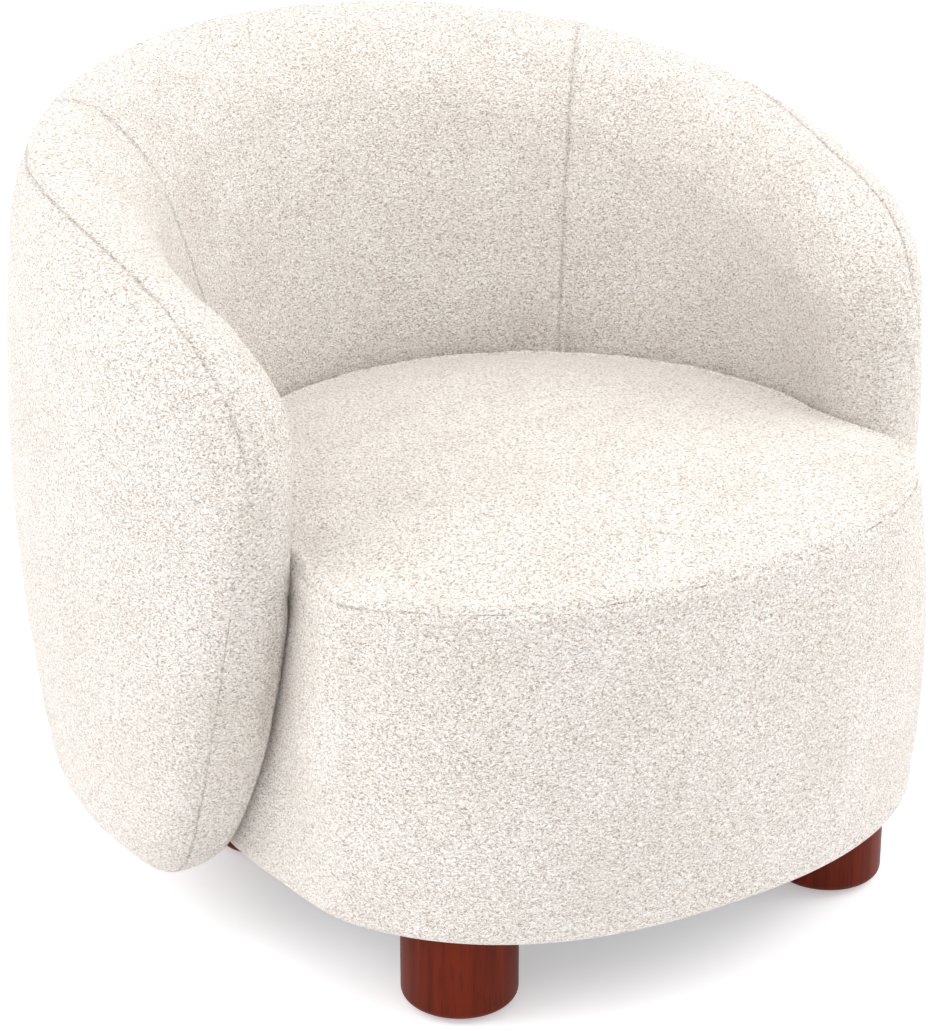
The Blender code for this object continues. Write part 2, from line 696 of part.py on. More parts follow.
def build_seat_frame(finish):
    frame_inset = CLOTH + BAND_FOAM + 6 * GAP + PLATE_EASE
    board_inset = DRUM_FOOT_ROLL + BAND_FOAM + 4 * GAP + FACET_EASE
    board_low = DRUM_FOOT + CLOTH + 2 * GAP
    board = flat_plate("base_board", board_inset, board_low, board_low + BOARD, finish["timber"])
    rail_low = SEAT_RAIL_TOP - BOARD
    flat_plate("seat_rail", frame_inset, rail_low, SEAT_RAIL_TOP, finish["timber"], SEAT_RAIL_WIDE)
    dust_inset = DRUM_FOOT_ROLL + HEM + 2 * GAP
    dust = flat_plate("dust_cover", dust_inset + PLATE_EASE, DRUM_FOOT, DRUM_FOOT + 0.001,
                      finish["dust"])
    for name, (x, y) in leg_places().items():
        hole = cylinder(f"cut_board_{name}", BOLT_RADIUS + CLEARANCE, 0.05, 0.2, (x, y, 0),
                        finish["timber"], 12)
        cut(board, hole)
        cut(dust, hole)
        post_height = rail_low - board_low - BOARD - 2 * GAP
        px, py, turn = seat_post_place(x, y)
        middle = board_low + BOARD + GAP + post_height / 2
        matrix = Matrix.Translation((px, py, middle)) @ Matrix.Rotation(-turn, 4, "Z")
        post = box(f"seat_post_{name}", (SEAT_POST, SEAT_POST, post_height), finish["timber"], matrix)
        if y > 0:
            for number, z in enumerate(JOINT_BOLT_HEIGHTS, 1):
                cut(post, joint_drill(f"cut_post_{name}_{number}", x, z, finish))
    return board_low


def seat_post_place(x, y):
    """A seat post stands between its leg and the middle, and faces outward."""
    if y > 0:
        turn = math.copysign(math.radians(JOINT_ANGLE), x)
        reach = inner_wall(JOINT_ANGLE, 0.2) - JOINT_POST_DEPTH
        return reach * math.sin(turn), reach * math.cos(turn), turn
    return x - math.copysign(SEAT_POST, x), y, 0.0


def joint_axis(x):
    turn = math.copysign(math.radians(JOINT_ANGLE), x)
    return Vector((math.sin(turn), math.cos(turn), 0.0))


def joint_rod(name, side, z, radius, near, far, material, sides=12):
    """A level rod that runs outward through the seat and the shell at the joint angle."""
    axis = joint_axis(side)
    rod = cylinder(name, radius, near, far, (0, 0, 0), material, sides)
    rod.matrix_world = Matrix.Translation((0, 0, z)) @ axis.to_track_quat("Z", "Y").to_matrix().to_4x4()
    return rod


def joint_tip(z):
    """The outer side of the shell post that the bolt is screwed into."""
    return frame_radius(JOINT_ANGLE, z) + POST_DEEP / 2


def joint_drill(name, side, z, finish):
    radius = BOLT_RADIUS + CLEARANCE
    return joint_rod(name, side, z, radius, 0.1, joint_tip(z) + BOLT_RADIUS, finish["steel"])


def build_joint_bolts(finish):
    """Four bolts that hold the shell to the rear seat posts, through both covers."""
    head = inner_wall(JOINT_ANGLE, 0.2) - JOINT_POST_DEPTH - SEAT_POST / 2 - GAP
    tip = joint_tip(JOINT_BOLT_HEIGHTS[0]) - 2 * FACET_EASE
    number = 0
    for side in (-1, 1):
        for z in JOINT_BOLT_HEIGHTS:
            number += 1
            bolt = joint_rod(f"joint_bolt_{number}", side, z, BOLT_RADIUS, head - 0.004, tip,
                             finish["steel"])
            add_head(bolt, BOLT_RADIUS * 2, head - 0.006, head)
            names = ["shell_foam", "seat_band_cover", "seat_band_foam", "inner_panel"]
            names += ["inner_cover_back" if JOINT_ANGLE < PANEL_SEAM else
                      ("inner_cover_right_arm" if side < 0 else "inner_cover_left_arm")]
            names += ["shell_post_2" if side < 0 else "shell_post_5"]
            drill = joint_drill(f"cut_joint_{number}", side, z, finish)
            for name in names:
                cut(bpy.data.objects[name], drill)


def add_head(bolt, radius, low, high):
    """A round head on the bolt's near end, joined by a union."""
    head = cylinder(bolt.name + "_head", radius, low, high, (0, 0, 0), bolt.data.materials[0], 12)
    head.matrix_world = bolt.matrix_world
    head.hide_render = True
    head.display_type = "WIRE"
    modifier = bolt.modifiers.new("head", "BOOLEAN")
    modifier.object = head
    modifier.operation = "UNION"


def build_springs(finish):
    """Zigzag springs from the front to the rear of the seat rail, arched up in the middle."""
    for number in range(SPRING_COUNT):
        x = (number - (SPRING_COUNT - 1) / 2) * SPRING_PITCH
        front, rear = spring_ends(x)
        base = SEAT_RAIL_TOP + SPRING_WIRE + GAP
        turns = 7
        share = np.linspace(0, 1, turns * 4 + 1)
        y = front + (rear - front) * share
        swing = SPRING_LOOP * np.sin(share * turns * np.pi)
        z = base + SPRING_ARCH * np.sin(share * np.pi) ** 2
        curve = bpy.data.curves.new(f"seat_spring_{number + 1}", "CURVE")
        curve.dimensions = "3D"
        curve.bevel_depth = SPRING_WIRE
        curve.bevel_resolution = 0
        curve.use_fill_caps = True
        spline = curve.splines.new("POLY")
        spline.points.add(len(share) - 1)
        for point, place in zip(spline.points, zip(x + swing, y, z)):
            point.co = (*place, 1.0)
        spring = bpy.data.objects.new(curve.name, curve)
        bpy.context.scene.collection.objects.link(spring)
        curve.materials.append(finish["steel"])
        for place, end in (("front", front), ("rear", rear)):
            clip_z = base + SPRING_WIRE + 2 * GAP + 0.0015
            matrix = Matrix.Translation((x, end, clip_z))
            box(f"spring_clip_{place}_{number + 1}", (0.016, 0.022, 0.003), finish["steel"], matrix)


def spring_ends(x):
    """Where a spring at x lands on the front and rear stretch of the seat rail."""
    inset = CLOTH + BAND_FOAM + 6 * GAP + PLATE_EASE + SEAT_RAIL_WIDE / 2
    degrees = drum_turns()
    edge = on_plan(degrees, drum_edge(degrees, SEAT_RAIL_TOP + 0 * degrees) - inset, 0 * degrees)
    front = edge[edge[:, 1] < SEAT_CENTRE]
    rear = edge[edge[:, 1] >= SEAT_CENTRE]
    front = front[np.argsort(front[:, 0])]
    rear = rear[np.argsort(rear[:, 0])]
    return np.interp(x, front[:, 0], front[:, 1]), np.interp(x, rear[:, 0], rear[:, 1])


# ---- legs -----------------------------------------------------------------------------------


def build_legs(finish):
    top = DRUM_FOOT - GAP
    bolt_top = DRUM_FOOT + CLOTH + BOARD + 0.012
    for name, (x, y) in leg_places().items():
        leg = cylinder(f"leg_{name}", LEG_RADIUS, GLIDE + GAP, top, (x, y, 0), finish["stain"], 36,
                       LEG_EDGE)
        bore = cylinder(f"cut_leg_{name}", BOLT_RADIUS + CLEARANCE, top - BOLT_IN_LEG - GAP, 0.2,
                        (x, y, 0), finish["stain"], 12)
        cut(leg, bore)
        cylinder(f"hanger_bolt_{name}", BOLT_RADIUS, top - BOLT_IN_LEG, bolt_top, (x, y, 0),
                 finish["steel"], 12)
        cylinder(f"glide_{name}", GLIDE_RADIUS, 0.0, GLIDE, (x, y, 0), finish["nylon"], 20)
        build_leg_nut(name, x, y, finish)


def build_leg_nut(name, x, y, finish):
    """The nut that draws the leg's bolt up to the base board."""
    low = DRUM_FOOT + CLOTH + 2 * GAP + BOARD + GAP
    nut = cylinder(f"leg_nut_{name}", 0.0085, low, low + 0.006, (x, y, 0), finish["steel"], 6)
    cutter = cylinder(f"cut_nut_{name}", BOLT_RADIUS + CLEARANCE, low - 0.01, low + 0.02, (x, y, 0),
                      finish["steel"], 12)
    cut(nut, cutter)


def centre_on_origin():
    """Moves everything so that the middle of the chair's box stands over the origin."""
    outer, _ = shell_skin(shell_angles())
    degrees = drum_turns()[:, None]
    z = np.linspace(DRUM_FOOT + DRUM_FOOT_ROLL, SEAT_SEAM - GAP, 7)[None]
    front = on_plan(degrees, drum_edge(degrees, z), z)
    middle = (outer[..., 1].max() + front[..., 1].min()) / 2
    bpy.context.view_layer.update()
    for obj in bpy.data.objects:
        obj.matrix_world = Matrix.Translation((0, -middle, 0)) @ obj.matrix_world
    bpy.context.view_layer.update()


def main():
    clear_scene()
    finish = finishes()
    skin = build_shell_covers(finish)
    build_shell_foam(finish, skin)
    build_shell_frame(finish)
    build_seat_covers(finish)
    build_seat_padding(finish)
    build_seat_frame(finish)
    build_springs(finish)
    build_legs(finish)
    build_joint_bolts(finish)
    centre_on_origin()


main()
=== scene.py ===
import json

import bpy
import numpy as np
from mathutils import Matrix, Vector


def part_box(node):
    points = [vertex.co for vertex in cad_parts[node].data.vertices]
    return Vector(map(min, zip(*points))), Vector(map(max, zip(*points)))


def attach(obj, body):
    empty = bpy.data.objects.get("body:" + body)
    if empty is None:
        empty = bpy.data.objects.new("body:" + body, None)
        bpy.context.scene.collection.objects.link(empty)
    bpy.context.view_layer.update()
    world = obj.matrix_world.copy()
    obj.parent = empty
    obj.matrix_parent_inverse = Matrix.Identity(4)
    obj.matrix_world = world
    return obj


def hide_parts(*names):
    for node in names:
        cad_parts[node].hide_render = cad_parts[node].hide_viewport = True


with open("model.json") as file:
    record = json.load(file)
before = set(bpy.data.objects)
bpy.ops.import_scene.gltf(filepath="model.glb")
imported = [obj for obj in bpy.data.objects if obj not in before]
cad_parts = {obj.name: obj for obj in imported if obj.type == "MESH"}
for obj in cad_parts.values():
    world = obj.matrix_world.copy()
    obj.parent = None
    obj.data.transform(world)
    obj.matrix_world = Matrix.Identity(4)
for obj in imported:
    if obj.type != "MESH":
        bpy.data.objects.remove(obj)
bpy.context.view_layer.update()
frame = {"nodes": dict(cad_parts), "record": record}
print("frame loaded", len(frame["nodes"]), "nodes")

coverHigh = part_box("outer_cover")[1]
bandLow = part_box("seat_band_cover")[0]
legLow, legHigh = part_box("leg_front_right")

# metres and degrees: the inner and outer walls are circles about points ahead of and behind the plan centre
shell = {
    "planCentreY": coverHigh[1] - 0.489,
    "innerRadius": 0.295, "innerBack": -0.028,
    "outerRadius": 0.420, "outerBack": 0.069,
    "waistHeight": 0.39, "recline": 0.521, "armSplay": 0.084,
    "outerTuckTop": 0.024, "outerTuckFoot": 0.025, "tuckSpan": 0.30,
    "foot": 0.066, "backHeight": 0.697, "armHeight": 0.592, "noseHeight": 0.457,
    "noseAngle": 109.4, "noseStart": 86.5, "noseTaper": 98.8,
    "sweep": 0.4524, "sweepStart": 60.0,  # how far an arm's sides part towards its nose, and from where
    "rimPower": 3.6, "footPower": 2.3,  # how squarely the rim and the foot turn in to the nose
    "seamBack": 0.80, "seamArm": 0.60, "seamNose": 0.70,
    "rimRollIn": 0.075, "rimRollOutBack": 0.036, "rimRollOutArm": 0.045,
    "footRollIn": 0.02, "footRollOut": 0.05,
    "seamBeyond": 0.030,  # arc from the ridge of the back to its seam, on the outer side
    "beyondFrom": 45.0, "beyondTo": 84.0,
    "armFrom": 35.0, "armTo": 78.0, "noseFrom": 85.0,  # where the section turns into an arm's and a nose's
    "panelSeam": 40.0,
    "seamDepth": 0.0018, "seamWidth": 0.0040, "panelSeamDepth": 0.0004, "panelSeamWidth": 0.0026,
    "sections": 300, "levels": 120,
}


def ease(value, low, high):
    # 0 below low, 1 above high, and the cubic 3x^2 - 2x^3 between
    share = np.clip((value - low) / (high - low), 0, 1)
    return share * share * (3 - 2 * share)


def circleReach(centre, radius, turn):
    # distance from the plan centre to a circle whose own centre lies behind it
    return centre * np.cos(turn) + np.sqrt(radius**2 - (centre * np.sin(turn)) ** 2)


def innerWall(degrees, z):
    # inner circle, plus a lean that grows with height at the back, less the arms' splay
    s, turn = shell, np.radians(degrees)
    above = z - s["waistHeight"]
    soft = (above + np.sqrt(above**2 + 0.03**2)) / 2 - 0.0045
    lean = s["recline"] * np.maximum(np.cos(turn), 0) * np.maximum(soft, 0)
    return circleReach(s["innerBack"], s["innerRadius"], turn) + lean - s["armSplay"] * above


def outerWall(degrees, z):
    # outer circle, drawn in by the square of the distance above and below the waist
    s, turn = shell, np.radians(degrees)
    above = np.maximum(z - s["waistHeight"], 0) / s["tuckSpan"]
    below = np.maximum(s["waistHeight"] - z, 0) / s["tuckSpan"]
    tuck = s["outerTuckTop"] * above**2 + s["outerTuckFoot"] * below**2
    return circleReach(s["outerBack"], s["outerRadius"], turn) - tuck


def noseShare(degrees):
    # 0 to 1 over the last stretch of the arm
    s = shell
    return np.clip((np.abs(degrees) - s["noseStart"]) / (s["noseAngle"] - s["noseStart"]), 0, 1)


def rimHeight(degrees):
    # falls with the cosine of the angle, then a superellipse down to the nose
    s = shell
    rim = s["armHeight"] + (s["backHeight"] - s["armHeight"]) * np.cos(np.radians(degrees))
    return s["noseHeight"] + (rim - s["noseHeight"]) * np.sqrt(1 - noseShare(degrees) ** s["rimPower"])


def footHeight(degrees):
    # level, then a power curve up to the nose
    s = shell
    return s["foot"] + (s["noseHeight"] - s["foot"]) * noseShare(degrees) ** s["footPower"]


def roll(z, low, high, topRoll, footRoll):
    # 1 up the wall, and a quarter ellipse down to 0 at each end
    half = (high - low) / 2 + 1e-9
    top = np.clip((z - high) / np.minimum(topRoll, half) + 1, 0, 1)
    foot = np.clip((low - z) / np.minimum(footRoll, half) + 1, 0, 1)
    return np.sqrt(1 - top**2) * np.sqrt(1 - foot**2)


def placeOnPlan(degrees, radius, sweepFrom, z):
    # polar position, with the two sides of an arm swept apart as the square of the way to its nose
    s = shell
    amount = np.clip((np.abs(degrees) - s["sweepStart"]) / (s["noseAngle"] - s["sweepStart"]), 0, 1) ** 2
    sweep = s["sweep"] * amount * (radius - sweepFrom) / s["innerRadius"]
    turn = np.radians(degrees) - np.sign(degrees) * sweep
    x, y = radius * np.sin(turn), s["planCentreY"] + radius * np.cos(turn)
    return np.stack([x, y, z + 0 * turn], -1)


def shellSections():
    # angles of the sections, closer together towards the noses
    half = shell["sections"] // 2
    share = np.linspace(0, 1, half + 1)
    right = shell["noseAngle"] * (1 - (1 - share) ** 1.8)
    return np.concatenate([-right[:0:-1], right])


def shellSurface():
    # Up the outer wall and down the inner one, each rolled over by quarter ellipses at rim and foot.
    # The loop is cut at the rim seam, so the two grids share that line, the foot line and the noses
    s = shell
    degrees = shellSections()[:, None]
    level = ((1 - np.cos(np.linspace(0, np.pi, s["levels"]))) / 2)[None]
    low, high = footHeight(degrees), rimHeight(degrees)
    z = low + (high - low) * level
    inside, outside = innerWall(degrees, z), outerWall(degrees, z)
    thick = outside - inside
    towardsArm = ease(np.abs(degrees), s["armFrom"], s["armTo"])
    seam = s["seamBack"] + (s["seamArm"] - s["seamBack"]) * towardsArm
    seam = seam + (s["seamNose"] - s["seamArm"]) * ease(np.abs(degrees), s["noseFrom"], s["noseAngle"])
    middle = inside + seam * thick
    rollOut = s["rimRollOutBack"] + (s["rimRollOutArm"] - s["rimRollOutBack"]) * towardsArm
    tip = np.clip((np.abs(degrees) - s["noseTaper"]) / (s["noseAngle"] - s["noseTaper"]), 0, 1)
    cap = np.sqrt(1 - tip**2)
    outward = (1 - seam) * thick * cap * roll(z, low, high, rollOut, s["footRollOut"])
    inward = seam * thick * cap * roll(z, low, high, s["rimRollIn"], s["footRollIn"])
    outer = placeOnPlan(degrees, middle + outward, middle, z)
    inner = placeOnPlan(degrees, middle - inward, middle, z)
    around = np.concatenate([outer, inner[:, -2::-1]], axis=1)
    ridge, whole = arcLength(outer)[:, -1:], arcLength(around)[:, -1:]
    beyond = s["seamBeyond"] * (1 - ease(np.abs(degrees), s["beyondFrom"], s["beyondTo"]))
    split = np.maximum(ridge - beyond, ridge * 0.5)
    return evenRows(around, 0 * split, split, s["levels"]), evenRows(around, whole, split, s["levels"])


def arcLength(grid):
    # length along each row of points, from its first
    steps = np.linalg.norm(np.diff(grid, axis=1), axis=2)
    return np.concatenate([np.zeros((len(grid), 1)), np.cumsum(steps, axis=1)], axis=1)


def evenRows(grid, start, end, count):
    # each row's curve between two arc lengths, at even steps; rows lie 10 m apart so that one call does all
    apart = 10.0 * np.arange(len(grid))[:, None]
    have = (arcLength(grid) + apart).ravel()
    want = start + (end - start) * np.linspace(0, 1, count) + apart
    even = [np.interp(want.ravel(), have, grid[..., axis].ravel()) for axis in range(3)]
    return np.stack(even, -1).reshape(len(grid), count, 3)


def gridNormals(grid, wrapRows=False):
    # cross product of the central differences along the two directions
    if wrapRows:
        du = np.roll(grid, -1, 0) - np.roll(grid, 1, 0)
    else:
        du = np.gradient(grid, axis=0)
    dv = np.gradient(grid, axis=1)
    normal = np.cross(du, dv)
    return normal / np.maximum(np.linalg.norm(normal, axis=2, keepdims=True), 1e-12)


def gridQuads(rows, columns, wrapRows=False):
    # quads over a grid numbered row by row
    i = np.arange(rows if wrapRows else rows - 1)[:, None]
    j = np.arange(columns - 1)[None]
    k = (i + 1) % rows
    quads = np.stack([i * columns + j, k * columns + j, k * columns + j + 1, i * columns + j + 1], -1)
    return quads.reshape(-1, 4)


def meshObject(name, points, faces, uv=None):
    # a smooth-shaded mesh, its doubled points made one and its pinched quads made triangles
    points = np.asarray(points).reshape(-1, 3)
    _, first, back = np.unique(np.round(points, 6), axis=0, return_index=True, return_inverse=True)
    faces = back.reshape(-1)[faces]
    corners = [tuple(dict.fromkeys(face)) for face in faces.tolist()]
    kept = np.array([len(face) > 2 for face in corners])
    mesh = bpy.data.meshes.new(name)
    mesh.from_pydata(points[first].tolist(), [], [face for face in corners if len(face) > 2])
    mesh.polygons.foreach_set("use_smooth", np.ones(len(mesh.polygons), bool))
    if uv is not None:
        layer = mesh.uv_layers.new(name="cloth")
        at = np.empty(len(mesh.loops), np.int32)
        mesh.loops.foreach_get("vertex_index", at)
        layer.data.foreach_set("uv", np.asarray(uv).reshape(-1, 2)[first][at].ravel())
    mesh.update()
    piece = bpy.data.objects.new(name, mesh)
    bpy.context.scene.collection.objects.link(piece)
    return piece, back.reshape(-1), first, kept


def clothUv(grid):
    # metres along the cloth: girth at mid height across, and arc length up
    across = np.linalg.norm(np.diff(grid, axis=0), axis=2)
    u = np.concatenate([[0], np.cumsum(across[:, across.shape[1] // 2])])[:, None] + 0 * grid[..., 0]
    return np.stack([u, arcLength(grid)], -1)


clothRun = {  # seams are held, and pressure stands for the foam behind the cloth
    "frames": 14, "pressure": 4.0, "stiffness": 30.0, "bending": 0.5, "weight": 0.4, "quality": 4,
}


def simulate(points, faces, hold, cap):
    # Cloth with pressure and no gravity on a closed skin. It gives each point's move, smoothly capped
    piece, back, first, _ = meshObject("clothWork", points, faces)
    group = piece.vertex_groups.new(name="seams")
    weights = np.round(hold.ravel()[first], 1)
    for weight in np.unique(weights[weights > 0]):
        group.add(np.nonzero(weights == weight)[0].tolist(), float(weight), "REPLACE")
    cloth = piece.modifiers.new("cloth", "CLOTH")
    settings = cloth.settings
    settings.vertex_group_mass = "seams"
    settings.quality = clothRun["quality"]
    settings.mass = clothRun["weight"]
    settings.use_pressure = True
    settings.uniform_pressure_force = clothRun["pressure"]
    settings.tension_stiffness = settings.compression_stiffness = clothRun["stiffness"]
    settings.bending_stiffness = clothRun["bending"]
    settings.effector_weights.gravity = 0
    cloth.collision_settings.use_collision = False
    cloth.point_cache.frame_end = clothRun["frames"]
    for number in range(1, clothRun["frames"] + 1):
        bpy.context.scene.frame_set(number)
    result = piece.evaluated_get(bpy.context.evaluated_depsgraph_get()).to_mesh()
    moved = np.empty(len(result.vertices) * 3)
    result.vertices.foreach_get("co", moved)
    mesh = piece.data
    bpy.data.objects.remove(piece)
    bpy.data.meshes.remove(mesh)
    bpy.context.scene.frame_set(1)
    shift = moved.reshape(-1, 3)[back] - points
    size = np.maximum(np.linalg.norm(shift, axis=1, keepdims=True), 1e-9)
    print("  cloth moved", round(float(size.mean()) * 1000, 2), "mm on average, most",
          round(float(size.max()) * 1000, 1))
    return shift * np.tanh(size / cap) * cap / size


def holdNear(distance, reach=0.012):
    # 1 on the seam, easing to 0 at reach
    return 1 - ease(distance, 0.0, reach)


def seamGroove(distance, depth, width):
    # a narrow crease on the seam with a low shoulder beside it
    share = distance / width
    return depth * (np.exp(-(share**2)) - 0.22 * np.exp(-((share - 2.0) ** 2)))


def puckers(along, distance, height, reach, seed):
    # small gathers across a seam: a sum of sines along it, fading away from it
    turn = np.random.default_rng(seed).uniform(0, 2 * np.pi, 6)
    waves = (0.011, 0.017, 0.023, 0.037, 0.061, 0.094)
    total = sum(np.sin(2 * np.pi * along / wave + turn[n]) * wave**0.5 for n, wave in enumerate(waves))
    return height * total / 0.35 * np.exp(-distance / reach)


shellCovers = {"puff": 0.004, "pucker": 0.0006, "puckerReach": 0.02, "clothThick": 0.0015}


def shapeShell():
    # the closed skin with its seams creased, then simulated; it comes back as the same two grids
    s = shell
    outer, inner = shellSurface()
    rows, columns = outer.shape[:2]
    degrees = shellSections()[:, None]
    outNormal, inNormal = gridNormals(outer), -gridNormals(inner)
    if outNormal[rows // 2, columns // 2, 1] < 0:
        outNormal, inNormal = -outNormal, -inNormal
    outUv, inUv = clothUv(outer), clothUv(inner)
    outEnd, inEnd = outUv[:, -1:, 1] - outUv[..., 1], inUv[:, -1:, 1] - inUv[..., 1]
    room = np.clip(outUv[:, -1:, 1] / 0.06, 0, 1)
    reach = np.hypot(inner[..., 0], inner[..., 1] - s["planCentreY"])
    beside = np.radians(np.abs(np.abs(degrees) - s["panelSeam"])) * reach
    c = shellCovers
    outMove = -seamGroove(outEnd, s["seamDepth"], s["seamWidth"]) * room
    outMove += puckers(outUv[..., 0], outEnd, c["pucker"], c["puckerReach"], 3) * room
    inMove = -seamGroove(inEnd, s["seamDepth"], s["seamWidth"]) * room
    inMove += puckers(inUv[..., 0], inEnd, c["pucker"], c["puckerReach"], 3) * room
    inMove -= seamGroove(beside, s["panelSeamDepth"], s["panelSeamWidth"])
    inMove += puckers(inUv[..., 1], beside, c["pucker"] * 0.4, c["puckerReach"] * 0.7, 5) * room
    outer, inner = outer + outNormal * outMove[..., None], inner + inNormal * inMove[..., None]
    joinGrids(outer, inner)
    count = rows * columns
    points = np.concatenate([outer.reshape(-1, 3), inner.reshape(-1, 3)])
    quads = gridQuads(rows, columns)
    faces = np.concatenate([quads[:, ::-1], quads + count])
    hold = np.concatenate([holdNear(outEnd), holdNear(inEnd)])
    moved = points + simulate(points, faces, hold, c["puff"])
    outer, inner = moved[:count].reshape(outer.shape), moved[count:].reshape(inner.shape)
    return outer, inner, outUv, inUv, degrees[:, 0]


def joinGrids(outer, inner):
    # the two grids share their rim line, their foot line and the point of each nose
    for column in (0, -1):
        outer[:, column] = inner[:, column] = (outer[:, column] + inner[:, column]) / 2
    for row in (0, -1):
        outer[row] = inner[row] = outer[row].mean(0)


def coverPiece(name, grid, uv, flip, replaced, material, wrap=False):
    # one sheet of cloth, thickened inwards, in place of the CAD nodes that it stands for
    quads = gridQuads(len(grid), grid.shape[1], wrap)
    piece = meshObject(name, grid, quads[:, ::-1] if flip else quads, uv)[0]
    piece.data.materials.append(material)
    wall = piece.modifiers.new("cloth thickness", "SOLIDIFY")
    wall.thickness = shellCovers["clothThick"]
    wall.offset = -1
    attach(piece, "root")
    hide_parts(*replaced)
    return piece


def makeShellCovers(material):
    outer, inner, outUv, inUv, degrees = shapeShell()
    coverPiece("outerCover", outer, outUv, True, ["outer_cover", "outer_wadding"], material)
    left = int(np.searchsorted(degrees, -shell["panelSeam"]))
    right = int(np.searchsorted(degrees, shell["panelSeam"]))
    spans = {
        "innerCoverRightArm": (0, left, ["inner_cover_right_arm"]),
        "innerCoverBack": (left, right, ["inner_cover_back", "shell_foam"]),
        "innerCoverLeftArm": (right, len(degrees) - 1, ["inner_cover_left_arm"]),
    }
    for name, (low, high, nodes) in spans.items():
        span = slice(low, high + 1)
        coverPiece(name, inner[span], inUv[span], False, nodes, material)
    print("shell covers made")


drum = {
    "centreY": shell["planCentreY"] - 0.013,
    "seamHalfWidth": 0.331, "seamHalfDepth": 0.297,
    "footHalfWidth": 0.327, "footHalfDepth": 0.314,
    "power": 2.42, "bulge": 0.012,
    "foot": bandLow[2], "footRoll": 0.016, "hem": 0.025,
    "seam": 0.3815, "crown": 0.034,
    "besideArm": 98.0, "aheadOfArm": 121.0, "gap": 0.005,
    "turns": 420, "levels": 90, "rings": 80,
    "seamDepth": 0.0030, "seamWidth": 0.005, "puff": 0.003,
    "pucker": 0.0007, "puckerReach": 0.02,
    "armTuckDepth": 0.004, "armTuckReach": 0.05,
}


def drumEdge(degrees, z):
    # superellipse in plan ahead of the arms; beside and behind, the shell's inner wall less a gap
    d, turn = drum, np.radians(degrees)
    share = np.clip((z - d["foot"]) / (d["seam"] - d["foot"]), 0, 1)
    width = d["footHalfWidth"] + (d["seamHalfWidth"] - d["footHalfWidth"]) * share
    depth = d["footHalfDepth"] + (d["seamHalfDepth"] - d["footHalfDepth"]) * share
    wide, deep = np.abs(np.sin(turn)) / width, np.abs(np.cos(turn)) / depth
    free = (wide ** d["power"] + deep ** d["power"]) ** (-1 / d["power"])
    free = free + d["bulge"] * np.sin(np.pi * share) ** 0.8
    beside = np.minimum(np.abs(degrees), d["besideArm"])
    held = innerWall(beside, np.minimum(z, shell["waistHeight"])) - d["gap"]
    held = held - (d["centreY"] - shell["planCentreY"]) * np.cos(np.radians(beside))
    return held + (free - held) * ease(np.abs(degrees), d["besideArm"], d["aheadOfArm"])


def onPlan(degrees, radius, z):
    # polar position about the drum's own axis
    turn = np.radians(degrees)
    x, y = radius * np.sin(turn), drum["centreY"] + radius * np.cos(turn)
    return np.stack(np.broadcast_arrays(x, y, z), -1)


def shapeDrum():
    # the side from the hem up to the seam, and the crowned top from the seam to the middle
    d = drum
    degrees = np.linspace(-180, 180, d["turns"], endpoint=False)[:, None]
    bend = np.linspace(0, np.pi / 2, 16)[None]
    roll, low = d["footRoll"], d["foot"]
    up = np.linspace(low + roll, d["seam"], d["levels"])[None, 1:]
    footEdge = drumEdge(degrees, low + roll * (1 - np.cos(bend)))
    rolled = onPlan(degrees, footEdge - roll * (1 - np.sin(bend)), low + roll * (1 - np.cos(bend)))
    under = np.linspace(d["hem"], 0, 8, endpoint=False)[None]
    hem = onPlan(degrees, drumEdge(degrees, low + 0 * under) - roll - under, low + 0 * under)
    side = np.concatenate([hem, rolled, onPlan(degrees, drumEdge(degrees, up), up)], axis=1)
    share = (1 - np.linspace(0, 1, d["rings"])[None] ** 1.6)
    height = d["seam"] + d["crown"] * (1 - share**2.4) ** 0.8
    top = onPlan(degrees, drumEdge(degrees, d["seam"] + 0 * share) * share, height)
    sideUv, topUv = clothUv(side), clothUv(top)
    fromSeam, inSeam = sideUv[:, -1:, 1] - sideUv[..., 1], topUv[..., 1]
    sideNormal, topNormal = gridNormals(side, True), gridNormals(top, True)
    if sideNormal[d["turns"] // 2, -20, 1] < 0:
        sideNormal = -sideNormal
    if topNormal[0, 20, 2] < 0:
        topNormal = -topNormal
    along = sideUv[..., 0]
    sideMove = -seamGroove(fromSeam, d["seamDepth"], d["seamWidth"])
    sideMove += puckers(along, fromSeam, d["pucker"], d["puckerReach"], 7)
    topMove = -seamGroove(inSeam, d["seamDepth"], d["seamWidth"])
    topMove += puckers(along[:, -1:] + 0 * inSeam, inSeam, d["pucker"], d["puckerReach"], 7)
    armSide = np.exp(-(((np.abs(degrees) - d["aheadOfArm"]) / 5.0) ** 2))
    sideMove -= d["armTuckDepth"] * armSide * np.exp(-fromSeam / d["armTuckReach"])
    side, top = side + sideNormal * sideMove[..., None], top + topNormal * topMove[..., None]
    side[:, -1] = top[:, 0] = (side[:, -1] + top[:, 0]) / 2
    top[:, -1] = top[:, -1].mean(0)
    rows = d["turns"]
    count = side.shape[0] * side.shape[1]
    floor = np.stack([side[:, 0], side[:, 0].mean(0) + 0 * side[:, 0]], axis=1)
    points = np.concatenate([side.reshape(-1, 3), top.reshape(-1, 3), floor.reshape(-1, 3)])
    parts = [gridQuads(rows, side.shape[1], True), gridQuads(rows, top.shape[1], True) + count,
             gridQuads(rows, 2, True)[:, ::-1] + count + top.shape[0] * top.shape[1]]
    held = side[..., 2] < low + 0.004
    hold = np.concatenate([np.maximum(holdNear(fromSeam), held).ravel(), holdNear(inSeam).ravel(),
                           np.ones(floor.shape[0] * 2)])
    moved = points + simulate(points, np.concatenate(parts), hold, d["puff"])
    side = moved[:count].reshape(side.shape)
    top = moved[count : count + top.shape[0] * top.shape[1]].reshape(top.shape)
    return side, top, sideUv


